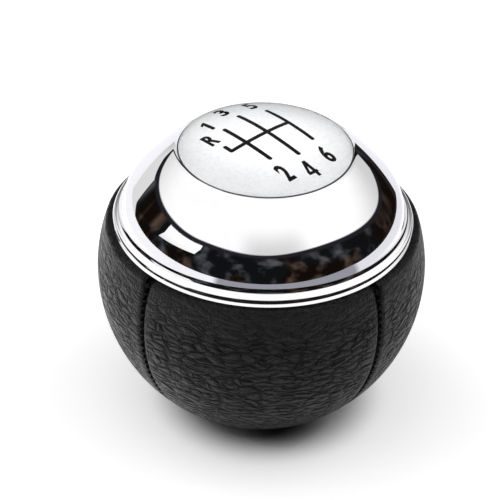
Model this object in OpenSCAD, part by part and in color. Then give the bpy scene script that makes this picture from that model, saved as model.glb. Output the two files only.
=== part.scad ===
/* [Ball] */
// Largest diameter of the leather-covered ball
ball_d = 52; // [51:0.5:53]
// Height of the widest circle above the surface that the knob stands on
ball_cz = 25.6; // [25.4:0.1:25.8]
// How much larger the arc of the lower half is than the ball's own radius
lower_fullness = 1.3; // [1.2:0.1:1.4]
// Thickness of the leather
leather_t = 1.3; // [1.2:0.05:1.4]
// Thickness of the moulded shell under the leather
shell_t = 2.2; // [2:0.1:2.4]

/* [Cap] */
// Height of the joint between the leather's upper edge and the chrome
rim_z = 33.9; // [33.8:0.05:34]
// Radius of the opening that the lens sits in
lens_seat_r = 13.65; // [13.5:0.05:13.8]
// Height of the cap's upper edge, where the lens begins
lens_rim_z = 47.15; // [47:0.05:47.3]
// Rise of the lens from its edge to its middle
lens_sag = 3.1; // [2.6:0.1:3.4]
// Wall thickness of the plated cap
cap_t = 1.8; // [1.6:0.1:2]

/* [Lever socket] */
// Diameter of the bore that goes over the lever
lever_d = 11; // [10.6:0.1:11.2]
// Wall thickness of the push-on sleeve
sleeve_t = 1.2; // [1.1:0.05:1.25]
// Width of the keyway that the lever's key slides in
keyway_w = 2.2; // [1.8:0.1:2.6]

/* [Hidden] */
$fn = 96;

fit_gap = 0.05;
ball_r = ball_d / 2;
// Longer than anything in the knob, for cuts that pass right through
far = 4 * ball_r;
// How deep a shape runs into the one that it is joined to
overlap = 1;
small_fn = 32;

// Seams and panels
panel_count = 4;
panel_gap_deg = 0.3;
seam_groove_r = 0.8;
seam_above_deg = 15;
seam_below_deg = 60;
thread_r = 0.3;
thread_short_deg = 1;
thread_sink = 0.45;
hem_t = 0.8;
roll_r = leather_t / 2;
top_deg = asin((rim_z - roll_r - ball_cz) / (ball_r - roll_r));
top_roll_r = (ball_r - roll_r) * cos(top_deg);
top_hem_r = 21.8;
foot_z = 1;
foot_deg = asin((ball_cz - foot_z - roll_r) / (ball_r + lower_fullness - roll_r));
foot_roll_r = (ball_r + lower_fullness - roll_r) * cos(foot_deg) - lower_fullness;
foot_hem_r = 7.95;

// Lower ring and upper bead that run round the rim, with the joint between them
joint_z = rim_z + 1.05;
ring_r = ball_r - 2.55;
ring_in_r = 21.4;
ring_top_z = joint_z - fit_gap;
ring_neck_r = 22.6;
ring_lip_h = 0.05;
ring_step_h = 0.06;
// How far each sloping face leans back, and its length, for the lower and the upper face
ring_lean_deg = [50, 57];
ring_face_len = [0.36, 0.45];
bead_top_r = 0.8;

// The cap's outline: a nearly straight slope, a round shoulder and a hollow above the beads
shoulder_r = 8;
shoulder_at = [ball_r - 11.7, rim_z + 1.45];
slope_start = 40;
wall_lean = 9;
hollow_r = 1.5;
hollow_at = shoulder_at + (shoulder_r + hollow_r) * [cos(wall_lean), sin(wall_lean)];
hollow_end = 68;
bead_top_at = hollow_at - (hollow_r + bead_top_r) * [cos(hollow_end), sin(hollow_end)];
slope_from = shoulder_at + shoulder_r * [cos(slope_start), sin(slope_start)];
slope_dir = [cos(slope_start), sin(slope_start)];
slope_span = [lens_seat_r, lens_rim_z] - slope_from;
slope_r = -(slope_span * slope_span) / (2 * slope_span * slope_dir);
slope_at = slope_from - slope_r * slope_dir;

// The lens seat, from the floor up: tape, disc and lens
tape_t = 0.25;
disc_t = 0.5;
lens_edge_t = 0.8;
seat_z = lens_rim_z - lens_edge_t - disc_t - tape_t;
seat_floor_t = 1.6;
seat_hub_r = 16;
push_out_r = 3;
tape_edge_gap = 0.6;
tape_hole_gap = 0.5;
lens_r = lens_seat_r - fit_gap;
lens_ball_r = (lens_r * lens_r + lens_sag * lens_sag) / (2 * lens_sag);

// Snap hooks that hold the cap to the carrier
hook_count = 6;
hook_w = 5;
hook_in_r = 18.9;
hook_out_r = 20.3;
hook_barb = 0.8;
hook_barb_land = 0.3;
hook_barb_gap = 0.1;
hook_barb_draft = 0.2;
hook_top_z = 38;
hook_tip_z = 29.4;

// Carrier plate and its screws
carrier_z = 31;
carrier_t = 2;
carrier_r = 18.75;
carrier_rib_h = 2.4;
carrier_rib_t = 1.4;
carrier_edge = 0.5;
carrier_wall_t = 1.1;
carrier_cup_t = 1.6;
window_at_r = 13.2;
window_r = 2.4;
screw_count = 3;
screw_at_r = 15;
screw_r = 1.1;
screw_len = 9;
screw_head_r = 2;
screw_head_h = 1.4;
screw_head_draft = 0.5;
screw_clear = 0.2;
screw_play = 0.02;
hex_r = 1.1;
hex_floor_t = 0.6;
boss_r = 2.4;
boss_foot_z = 8;

// Lever socket, from the bore outwards
lever_r = lever_d / 2;
sleeve_r = lever_r + sleeve_t;
sleeve_z = 1.2;
sleeve_end_z = 28;
sleeve_end_t = 1.2;
buffer_t = 1.4;
buffer_r = lever_r - 0.4;
slot_count = 4;
slot_w = 1;
slot_top_z = 13;
key_w = 2;
key_z = [12, 22];
key_h = 0.7;
key_gap = 0.1;
hub_gap = 0.1;
hub_bore_r = sleeve_r + hub_gap;
hub_r = 9;
hub_z = 6.2;
hub_top_z = 30.9;
hub_flange_z = 22;
hub_flange_t = 4;
hub_flange_r = 13.2;
hub_scallop_gap = 0.5;
clip_z = 8.7;
clip_wire_r = 0.45;
clip_groove_deep = 0.4;
clip_room = 0.15;
clip_groove_r = sleeve_r - clip_groove_deep + 2 * (clip_wire_r + clip_room);
clip_gap_deg = 36;

// Moulded shell
shell_out = leather_t + fit_gap;
shell_in = shell_out + shell_t;
shell_top_z = rim_z - hem_t - fit_gap;
shell_floor_z = foot_z + hem_t + fit_gap;
tube_in_r = hub_r + hub_gap;
tube_r = 11.3;
rib_count = 9;
rib_t = 1.5;
rib_top_z = 27;
rib_dip_at_r = 16.8;
rib_dip_r = 4.5;
rib_flange_gap = 0.3;
mouth_r = 8.05;
ledge_z = 4.8;

// Collar that closes the bottom
collar_r = 8.8;
collar_in_r = 5.9;
collar_edge_r = 0.4;
spigot_in_r = 6.85;
spigot_r = 7.85;
spigot_top_z = 6;
lug_count = 4;
lug_deg = 34;
lug_h = 0.6;
slit_w = 0.6;
slit_z = 2.4;

leather_dark = [0.16, 0.16, 0.165];
moulding_black = [0.1, 0.1, 0.11];
chrome_grey = [0.82, 0.83, 0.85];

// Outline of the ball, taken in from its surface by a distance. The lower half has a
// larger arc whose centre lies just across the axis, so both halves meet upright.
module ball_outline(inset) {
    intersection() {
        translate([0, ball_cz]) circle(r = ball_r - inset);
        translate([0, ball_cz]) square([far, far]);
    }
    intersection() {
        translate([-lower_fullness, ball_cz]) circle(r = ball_r + lower_fullness - inset);
        translate([0, ball_cz - far]) square([far, far]);
    }
}

// The part of a flat outline that lies between two heights
module between(low, high) {
    intersection() {
        children();
        translate([0, low]) square([far, high - low]);
    }
}

// A band of even thickness along an arc, from one angle to another
module arc_band(at, mid_r, thick, from_deg, to_deg) {
    translate(at) intersection() {
        difference() {
            circle(r = mid_r + thick / 2);
            circle(r = mid_r - thick / 2);
        }
        polygon([[0, 0], far * [cos(from_deg), sin(from_deg)], far * [cos(to_deg), sin(to_deg)]]);
    }
}

// Leather cut through the axis: a curved wall with a rolled edge and a thin hem at each end
module leather_outline() {
    arc_band([0, ball_cz], ball_r - roll_r, leather_t, 0, top_deg);
    arc_band([-lower_fullness, ball_cz], ball_r + lower_fullness - roll_r, leather_t, -foot_deg, 0);
    translate([top_roll_r, rim_z - roll_r]) circle(r = roll_r);
    translate([foot_roll_r, foot_z + roll_r]) circle(r = roll_r);
    translate([top_hem_r, rim_z - hem_t]) square([top_roll_r - top_hem_r, hem_t]);
    translate([foot_hem_r, foot_z]) square([foot_roll_r - foot_hem_r, hem_t]);
}

// A round bar bent along a seam, from the rim down to the foot
module seam_bar(sink, bar_r, short_deg) {
    above = seam_above_deg - short_deg;
    below = seam_below_deg - short_deg;
    translate([0, 0, ball_cz]) rotate([90, 0, 0])
        rotate_extrude(start = 0, angle = above)
            translate([ball_r - sink, 0]) circle(r = bar_r, $fn = small_fn);
    translate([-lower_fullness, 0, ball_cz]) rotate([90, 0, 0])
        rotate_extrude(start = -below, angle = below)
            translate([ball_r + lower_fullness - sink, 0]) circle(r = bar_r, $fn = small_fn);
}

// One of the four panels. The grooves along its sides leave room for the thread.
module leather_panel(place) {
    step = 360 / panel_count;
    color(leather_dark) difference() {
        rotate_extrude(start = place * step + panel_gap_deg, angle = step - 2 * panel_gap_deg)
            leather_outline();
        for (side = [0, 1])
            rotate([0, 0, (place + side) * step]) seam_bar(0, seam_groove_r, 0);
    }
}

module leather_front_right() { leather_panel(0); }
module leather_front_left() { leather_panel(1); }
module leather_rear_left() { leather_panel(2); }
module leather_rear_right() { leather_panel(3); }

module seam_thread() {
    color(leather_dark)
        for (seam = [0 : panel_count - 1])
            rotate([0, 0, seam * 360 / panel_count]) seam_bar(thread_sink, thread_r, thread_short_deg);
}

// Ring that closes the foot: a flat flange to stand on and a spigot up into the shell,
// slit beside four lugs that snap over the shell's edge
module base_collar() {
    flange_top = foot_z - fit_gap;
    lug_step = 360 / lug_count;
    color(moulding_black) difference() {
        union() {
            rotate_extrude() {
                translate([collar_in_r, 0]) square([collar_r - collar_edge_r - collar_in_r, flange_top]);
                translate([collar_in_r, collar_edge_r])
                    square([collar_r - collar_in_r, flange_top - collar_edge_r]);
                translate([collar_r - collar_edge_r, collar_edge_r])
                    circle(r = collar_edge_r, $fn = small_fn);
                translate([spigot_in_r, collar_edge_r])
                    square([spigot_r - spigot_in_r, spigot_top_z - collar_edge_r]);
            }
            for (lug = [0 : lug_count - 1])
                rotate_extrude(start = lug * lug_step - lug_deg / 2, angle = lug_deg)
                    polygon([
                        [spigot_in_r, ledge_z + fit_gap],
                        [spigot_r + lug_h, ledge_z + fit_gap],
                        [spigot_r, spigot_top_z],
                        [spigot_in_r, spigot_top_z],
                    ]);
        }
        for (lug = [0 : lug_count - 1])
            for (side = [-1, 1])
                rotate([0, 0, lug * lug_step + side * lug_deg / 2])
                    translate([spigot_in_r - overlap, -slit_w / 2, slit_z])
                        cube([spigot_r - spigot_in_r + lug_h + 2 * overlap, slit_w, far]);
    }
}

// Screw boss, with a thin web out to the shell
module boss() {
    translate([screw_at_r, 0, boss_foot_z]) cylinder(r = boss_r, h = carrier_z - boss_foot_z);
    translate([screw_at_r, -rib_t / 2, boss_foot_z])
        cube([ball_r - shell_in + overlap - screw_at_r, rib_t, rib_top_z - boss_foot_z]);
}

// Upright ribs whose upper edge dips in a hollow curve between the tube and the shell
module ribs() {
    difference() {
        for (rib = [0 : rib_count - 1])
            rotate([0, 0, (rib + 0.5) * 360 / rib_count])
                translate([tube_r - overlap, -rib_t / 2, shell_floor_z])
                    cube([ball_r, rib_t, rib_top_z - shell_floor_z]);
        translate([0, 0, rib_top_z]) rotate_extrude()
            translate([rib_dip_at_r, 0]) circle(r = rib_dip_r);
        translate([0, 0, hub_flange_z - fit_gap]) cylinder(r = hub_flange_r + rib_flange_gap, h = far);
    }
}

// Moulded body of the knob: a thin ball shell with a tube for the hub and ribs between them
module core_shell() {
    color(moulding_black) difference() {
        union() {
            rotate_extrude() between(shell_floor_z, shell_top_z) difference() {
                ball_outline(shell_out);
                difference() {
                    ball_outline(shell_in);
                    translate([0, foot_z]) square([tube_r, hub_flange_z - foot_z - fit_gap]);
                }
            }
            intersection() {
                union() {
                    ribs();
                    for (screw = [0 : screw_count - 1]) rotate([0, 0, screw * 360 / screw_count]) boss();
                }
                rotate_extrude() ball_outline(shell_out + shell_t / 2);
            }
        }
        translate([0, 0, ledge_z]) cylinder(r = tube_in_r, h = far);
        cylinder(r = mouth_r, h = far);
        for (screw = [0 : screw_count - 1])
            rotate([0, 0, screw * 360 / screw_count])
                translate([screw_at_r, 0, carrier_z - screw_len])
                    cylinder(r = screw_r, h = far, $fn = small_fn);
    }
}

// Cast hub that takes the sleeve. The flange rests on the shell's tube.
module lever_hub() {
    color([0.6, 0.61, 0.62]) difference() {
        union() {
            translate([0, 0, hub_z]) cylinder(r = hub_r, h = hub_top_z - hub_z);
            difference() {
                translate([0, 0, hub_flange_z]) cylinder(r = hub_flange_r, h = hub_flange_t);
                for (screw = [0 : screw_count - 1])
                    rotate([0, 0, screw * 360 / screw_count])
                        translate([screw_at_r, 0, 0]) cylinder(r = boss_r + hub_scallop_gap, h = far);
            }
        }
        cylinder(r = hub_bore_r, h = sleeve_end_z + sleeve_end_t + fit_gap);
        translate([0, 0, clip_z]) rotate_extrude()
            translate([sleeve_r - overlap, -clip_wire_r - clip_room])
                square([overlap + clip_groove_r - sleeve_r, 2 * (clip_wire_r + clip_room)]);
        translate([-key_w / 2 - key_gap, 0, 0])
            cube([key_w + 2 * key_gap, sleeve_r + key_h + key_gap, key_z[1] + key_gap]);
    }
}

// Push-on sleeve with spring fingers, a keyway for the lever and a key for the hub
module lever_sleeve() {
    color([0.86, 0.86, 0.83]) difference() {
        union() {
            translate([0, 0, sleeve_z]) cylinder(r = sleeve_r, h = sleeve_end_z + sleeve_end_t - sleeve_z);
            translate([-key_w / 2, lever_r + sleeve_t / 2, key_z[0]])
                cube([key_w, sleeve_t / 2 + key_h, key_z[1] - key_z[0]]);
        }
        cylinder(r = lever_r, h = sleeve_end_z - buffer_t);
        cylinder(r = buffer_r + fit_gap, h = sleeve_end_z);
        translate([0, 0, clip_z]) rotate_extrude()
            translate([sleeve_r - clip_groove_deep, -clip_wire_r - clip_room])
                square([overlap, 2 * (clip_wire_r + clip_room)]);
        for (slot = [0 : slot_count - 1])
            rotate([0, 0, (slot + 0.5) * 360 / slot_count]) sleeve_slot(slot_w);
        rotate([0, 0, -90]) sleeve_slot(keyway_w);
    }
}

// Slot through the sleeve's wall, open at its lower end
module sleeve_slot(width) {
    translate([lever_r - overlap, -width / 2, 0]) cube([sleeve_t + 2 * overlap, width, slot_top_z]);
}

// Spring ring that squeezes the sleeve's fingers on the lever
module clip_ring() {
    color([0.55, 0.56, 0.58]) translate([0, 0, clip_z])
        rotate_extrude(start = -90 + clip_gap_deg / 2, angle = 360 - clip_gap_deg)
            translate([sleeve_r - clip_groove_deep + clip_wire_r + fit_gap, 0])
                circle(r = clip_wire_r, $fn = small_fn);
}

// Rubber pad at the top of the bore that stops the knob rattling on the lever
module end_buffer() {
    color([0.2, 0.2, 0.2]) translate([0, 0, sleeve_end_z - buffer_t])
        cylinder(r = buffer_r, h = buffer_t - fit_gap);
}

// Plate screwed to the shell that the cap snaps on to, stiffened by an upstand, ribs and a cup
module cap_carrier() {
    stiff_z = carrier_z + overlap;
    stiff_h = carrier_t + carrier_rib_h - overlap;
    wall_r = carrier_r - carrier_edge;
    color(moulding_black) difference() {
        union() {
            translate([0, 0, carrier_z]) cylinder(r = carrier_r, h = carrier_t);
            translate([0, 0, stiff_z]) cylinder(r = hub_r, h = stiff_h);
            translate([0, 0, stiff_z]) difference() {
                cylinder(r = wall_r, h = stiff_h);
                cylinder(r = wall_r - carrier_wall_t, h = far);
            }
            for (rib = [0 : hook_count - 1])
                rotate([0, 0, (rib + 0.5) * 360 / hook_count])
                    translate([hub_r - overlap, -carrier_rib_t / 2, stiff_z])
                        cube([wall_r - hub_r, carrier_rib_t, stiff_h]);
        }
        translate([0, 0, carrier_z + carrier_cup_t]) cylinder(r = hub_r - carrier_cup_t, h = far);
        for (screw = [0 : screw_count - 1])
            rotate([0, 0, screw * 360 / screw_count])
                translate([screw_at_r, 0, 0]) cylinder(r = screw_r + screw_clear, h = far, $fn = small_fn);
        for (window = [0 : screw_count - 1])
            rotate([0, 0, (window + 0.5) * 360 / screw_count])
                translate([window_at_r, 0, 0]) cylinder(r = window_r, h = far);
    }
}

module carrier_screws() {
    seat = carrier_z + carrier_t;
    color([0.7, 0.7, 0.72])
        for (screw = [0 : screw_count - 1])
            rotate([0, 0, screw * 360 / screw_count]) translate([screw_at_r, 0, 0]) {
                translate([0, 0, seat - screw_len])
                    cylinder(r = screw_r - screw_play, h = screw_len, $fn = small_fn);
                translate([0, 0, seat]) difference() {
                    cylinder(
                        r1 = screw_head_r, r2 = screw_head_r - screw_head_draft,
                        h = screw_head_h, $fn = small_fn
                    );
                    translate([0, 0, hex_floor_t]) cylinder(r = hex_r, h = screw_head_h, $fn = 6);
                }
            }
}

// Point reached from another along one of the ring's sloping faces
function up_face(from_at, face) =
    from_at + ring_face_len[face] * [-sin(ring_lean_deg[face]), cos(ring_lean_deg[face])];

// Lower ring, which clamps the leather's upper hem against the shell: two sloping faces with
// a fine step between them, and a neck that the cap sits on
module trim_ring() {
    foot = rim_z + fit_gap;
    lip = [ring_r, foot + ring_lip_h];
    step_foot = up_face(lip, 0);
    step_top = step_foot + [0, ring_step_h];
    shelf = up_face(step_top, 1);
    color(chrome_grey) rotate_extrude()
        polygon([
            [ring_in_r, foot], [ring_r, foot], lip,
            step_foot, step_top, shelf,
            [ring_neck_r, shelf[1]], [ring_neck_r, ring_top_z], [ring_in_r, ring_top_z],
        ]);
}

// Solid outline under the cap's slope and shoulder, taken in from the surface by a distance
module dome_outline(inset) {
    upper_side = [slope_from - far * slope_dir, slope_from + far * slope_dir, [-far, 2 * far]];
    lower_side = [slope_from - far * slope_dir, slope_from + far * slope_dir, [2 * far, -far]];
    intersection() {
        translate(slope_at) circle(r = slope_r - inset, $fn = 360);
        polygon(upper_side);
        square([far, far]);
    }
    intersection() {
        translate(shoulder_at) circle(r = shoulder_r - inset);
        polygon(lower_side);
    }
    translate([0, rim_z]) square([shoulder_at[0] + shoulder_r - inset, shoulder_at[1] - rim_z]);
}

// Upper bead and the hollow between it and the shoulder, each arc tangent to the next
module bead_outline() {
    translate(bead_top_at) circle(r = bead_top_r);
    difference() {
        polygon([
            shoulder_at, hollow_at, bead_top_at,
            [bead_top_at[0], rim_z], [shoulder_at[0], rim_z],
        ]);
        translate(hollow_at) circle(r = hollow_r);
    }
}

// Snap hook that hangs from the cap, with a barb that catches under the carrier's edge
module hook() {
    barb_z = carrier_z - hook_barb_gap;
    translate([hook_in_r, -hook_w / 2, hook_tip_z])
        cube([hook_out_r - hook_in_r, hook_w, hook_top_z - hook_tip_z]);
    translate([0, hook_w / 2, 0]) rotate([90, 0, 0]) linear_extrude(height = hook_w)
        polygon([
            [hook_in_r + fit_gap, hook_tip_z],
            [hook_in_r + fit_gap, barb_z],
            [hook_in_r - hook_barb, barb_z - hook_barb_draft],
            [hook_in_r - hook_barb, barb_z - hook_barb_draft - hook_barb_land],
        ]);
}

// Plated cap: one thin dome with the upper bead, the lens seat and six snap hooks
module chrome_cap() {
    color(chrome_grey) {
        rotate_extrude() difference() {
            between(joint_z, lens_rim_z) {
                dome_outline(0);
                bead_outline();
            }
            difference() {
                dome_outline(cap_t);
                translate([0, seat_z - seat_floor_t]) square([seat_hub_r, far]);
            }
            translate([0, seat_z]) square([lens_seat_r, far]);
            square([push_out_r, far]);
        }
        for (place = [0 : hook_count - 1]) rotate([0, 0, (place + 0.5) * 360 / hook_count]) hook();
    }
}

module disc_tape() {
    color([0.9, 0.9, 0.88]) translate([0, 0, seat_z]) difference() {
        cylinder(r = lens_r - tape_edge_gap, h = tape_t);
        cylinder(r = push_out_r + tape_hole_gap, h = far);
    }
}

module pattern_disc() {
    color([0.78, 0.79, 0.8]) translate([0, 0, seat_z + tape_t]) cylinder(r = lens_r - fit_gap, h = disc_t);
}

// Clear lens: flat below, with a short straight edge and a low dome on top
module lens() {
    color([0.9, 0.93, 0.95, 0.35]) intersection() {
        translate([0, 0, lens_rim_z - lens_edge_t]) cylinder(r = lens_r, h = far);
        translate([0, 0, lens_rim_z + lens_sag - lens_ball_r]) sphere(r = lens_ball_r, $fn = 180);
    }
}

leather_front_right();
leather_front_left();
leather_rear_left();
leather_rear_right();
seam_thread();
base_collar();
core_shell();
lever_hub();
lever_sleeve();
clip_ring();
end_buffer();
cap_carrier();
carrier_screws();
trim_ring();
chrome_cap();
disc_tape();
pattern_disc();
lens();
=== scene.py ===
"""Gear knob with a sewn leather ball, a plated cap and a lens over its shift pattern."""

import math

import bmesh
import bpy
import numpy as np
from bpy.props import FloatProperty, FloatVectorProperty, IntProperty, PointerProperty
from mathutils import Matrix, Vector


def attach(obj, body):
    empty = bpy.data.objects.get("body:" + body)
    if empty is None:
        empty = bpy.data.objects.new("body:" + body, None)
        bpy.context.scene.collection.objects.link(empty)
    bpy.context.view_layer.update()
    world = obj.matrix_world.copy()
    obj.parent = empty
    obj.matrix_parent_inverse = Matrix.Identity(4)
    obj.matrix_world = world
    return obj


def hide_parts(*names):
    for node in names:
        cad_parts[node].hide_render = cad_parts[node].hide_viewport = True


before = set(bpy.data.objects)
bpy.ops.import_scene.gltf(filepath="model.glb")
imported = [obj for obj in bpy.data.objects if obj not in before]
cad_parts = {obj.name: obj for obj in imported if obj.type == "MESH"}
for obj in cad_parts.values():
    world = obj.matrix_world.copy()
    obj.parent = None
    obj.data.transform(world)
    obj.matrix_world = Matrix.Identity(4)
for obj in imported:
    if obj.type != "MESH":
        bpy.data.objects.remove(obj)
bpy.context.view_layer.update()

bl_info = {
    "name": "Leather Gear Knob",
    "version": (1, 0, 0),
    "blender": (4, 5, 0),
    "location": "3D Viewport > Sidebar > Gear Knob",
    "description": "Finishes a gear knob: sewn leather, plated cap, clear lens and shift pattern",
    "category": "Add Mesh",
}

MM = 0.001
# heights up the knob's axis in mm: the ball's middle, the leather's two hems, the dark joint
# between the beads, the disc's face, its print, and the lens's rim
BALL_Z = 25.6
HEM_Z = 1.0
RIM_Z = 33.9
JOINT_Z = 34.95
DISC_Z = 46.35
PRINT_Z = 46.37
LENS_RIM_Z = 47.15
# the ball's radius above its middle, and the fuller one below, round a centre past the axis
BALL_R = 26
LOWER_R = 27.3
LOWER_CENTRE = -1.3
LENS_R = 13.6
# the cover went on a little turned, in degrees
SEAM_TURN = 2.0


def linear(code):
    """Linear colour of an sRGB hex value."""
    parts = [int(code[i : i + 2], 16) / 255 for i in (0, 2, 4)]
    return [p / 12.92 if p <= 0.04045 else ((p + 0.055) / 1.055) ** 2.4 for p in parts]


def colour(name, code, about):
    """A colour that a user may change."""
    return FloatVectorProperty(
        name=name, description=about, subtype="COLOR", size=3, min=0, max=1, default=linear(code)
    )


def length(name, millimetres, about):
    """A length that a user may change."""
    return FloatProperty(
        name=name, description=about, unit="LENGTH", subtype="DISTANCE", default=millimetres * MM
    )


class KnobSizes(bpy.types.PropertyGroup):
    """Sizes of the knob's visible pieces"""

    leather_t: length("Leather Thickness", 0.6, "Thickness of the leather's visible skin")
    seam_roll: length("Seam Roll", 1.0, "Radius to which the leather's edges are rolled at a seam")
    seam_gap: length("Seam Gap", 0.16, "Half the width of the slit between two panels")
    stitch_pitch: length("Stitch Pitch", 1.25, "Distance from one stitch to the next")
    thread_r: length("Thread Radius", 0.15, "Radius of the sewing thread")
    print_w: length("Line Width", 0.68, "Width of the shift pattern's lines")
    far_figure: length("Far Figure Height", 3.0, "Height of the figures 1, 3, 5 and R")
    near_figure: length("Near Figure Height", 4.0, "Height of the figures 2, 4 and 6")
    turn_steps: IntProperty(
        name="Turning Steps", description="Steps in one turn of the plated pieces and the lens",
        default=256, min=64,
    )


class KnobColours(bpy.types.PropertyGroup):
    """Colours of the knob's finishes"""

    # painted shade: the crease colour is darker than the crowns' for the shade that falls in the
    # grain's depths; the crowns' colour is the leather's own
    leather: colour("Leather Creases", "070708", "Depths of the grain, where the dye lies thick")
    leather_crowns: colour("Leather Crowns", "171718", "Tops of the grain, rubbed a little paler")
    thread: colour("Thread", "0B0B0C", "Waxed sewing thread")
    chrome: colour("Chrome", "F3F3F4", "Bright plating")
    disc: colour("Disc", "FDFDFD", "Silver lacquer under the lens")
    ink: colour("Ink", "0E0A0A", "Printed shift pattern")


def arc(centre, radius, start, end, step=3.0):
    """Points along an arc, in millimetres and degrees, both ends included."""
    count = max(2, int(abs(end - start) / step) + 1)
    angles = np.radians(np.linspace(start, end, count))
    return [(centre[0] + radius * math.cos(a), centre[1] + radius * math.sin(a)) for a in angles]


def ray(degrees):
    """A step of one from the axis, in the plane of an outline."""
    return Vector((math.cos(math.radians(degrees)), math.sin(math.radians(degrees))))


def spun(degrees):
    """A turn about the knob's axis."""
    return Matrix.Rotation(math.radians(degrees), 4, "Z")


def clear_selection():
    """Leaves edit mode and deselects everything, the CAD nodes too."""
    if bpy.context.object and bpy.context.object.mode != "OBJECT":
        bpy.ops.object.mode_set(mode="OBJECT")
    bpy.ops.object.select_all(action="DESELECT")


def choose(*pieces):
    """Selects some pieces, the first of them active."""
    clear_selection()
    for piece in pieces:
        piece.select_set(True)
    bpy.context.view_layer.objects.active = pieces[0]


def pick(piece, keep):
    """Selects the points of a piece in edit mode whose place, in millimetres, passes a test."""
    mesh = bmesh.from_edit_mesh(piece.data)
    for vert in mesh.verts:
        vert.select = bool(keep(vert.co / MM))
    mesh.select_flush(True)
    mesh.select_flush(False)
    bmesh.update_edit_mesh(piece.data)


def draw_outline(name, outline):
    """Draws an outline in the plane of X and Z, point by point, and stays in edit mode."""
    clear_selection()
    bpy.ops.mesh.primitive_plane_add(size=MM)
    piece = bpy.context.object
    piece.name = piece.data.name = name
    bpy.ops.object.mode_set(mode="EDIT")
    bpy.ops.mesh.select_mode(type="VERT")
    bpy.ops.mesh.select_all(action="SELECT")
    bpy.ops.mesh.merge(type="CENTER")
    at = (0.0, 0.0)
    for number, point in enumerate(outline):
        move = {"value": ((point[0] - at[0]) * MM, 0, (point[1] - at[1]) * MM)}
        if number:
            bpy.ops.mesh.extrude_vertices_move(TRANSFORM_OT_translate=move)
        else:
            bpy.ops.transform.translate(**move)
        at = point
    return piece


def close_up(piece):
    """Merges what meets and points every face outwards, then leaves edit mode."""
    bpy.ops.mesh.select_all(action="SELECT")
    bpy.ops.mesh.remove_doubles(threshold=0.004 * MM)
    bpy.ops.mesh.normals_make_consistent(inside=False)
    bpy.ops.object.mode_set(mode="OBJECT")


def smooth(piece, degrees=35):
    """Shades a piece smooth, but for its edges over an angle."""
    choose(piece)
    bpy.ops.object.shade_smooth_by_angle(angle=math.radians(degrees))


def turn(name, outline, steps):
    """Turns an outline once round the knob's axis, as on a lathe."""
    piece = draw_outline(name, outline)
    bpy.ops.mesh.select_all(action="SELECT")
    bpy.ops.mesh.spin(steps=steps, angle=math.tau, center=(0, 0, 0), axis=(0, 0, 1))
    close_up(piece)
    smooth(piece)
    return piece


def apply(piece, kind, **settings):
    """Adds a modifier and applies it."""
    choose(piece)
    made = piece.modifiers.new(kind.title(), kind)
    for key, value in settings.items():
        setattr(made, key, value)
    bpy.ops.object.modifier_apply(modifier=made.name)


def finish(piece, material, slot, *nodes):
    """Gives a piece its material and the CAD nodes that it stands for; its slot is not used."""
    piece.data.materials.clear()
    piece.data.materials.append(material)
    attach(piece, "root")
    if nodes:
        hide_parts(*nodes)


# an eased change from one number to another, for a map range
EASED = {"interpolation_type": "SMOOTHSTEP"}


def feed(tree, node, inputs):
    """Fills a node's inputs, in order or by name: a node or socket is linked, all else is set."""
    for key, value in inputs.items() if isinstance(inputs, dict) else enumerate(inputs):
        if isinstance(value, bpy.types.Node):
            value = next(out for out in value.outputs if out.enabled)
        if isinstance(value, bpy.types.NodeSocket):
            tree.links.new(value, node.inputs[key])
        else:
            node.inputs[key].default_value = value


def add(tree, kind, inputs=(), ramp=(), **settings):
    """Adds a node with its settings and inputs, and the two stops of a colour ramp."""
    made = tree.nodes.new("ShaderNode" + kind)
    for key, value in settings.items():
        setattr(made, key, value)
    if ramp:
        made.color_ramp.interpolation = "EASE"
        for stop, (at, tint) in zip(made.color_ramp.elements, ramp):
            stop.position, stop.color = at, (*tint, 1)
    feed(tree, made, inputs)
    return made


def new_material(name):
    """An empty material with its output and one main shader."""
    made = bpy.data.materials.new(name)
    made.use_nodes = True
    tree = made.node_tree
    tree.nodes.clear()
    shader = add(tree, "BsdfPrincipled")
    add(tree, "OutputMaterial", {"Surface": shader})
    return made, tree, shader


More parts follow.
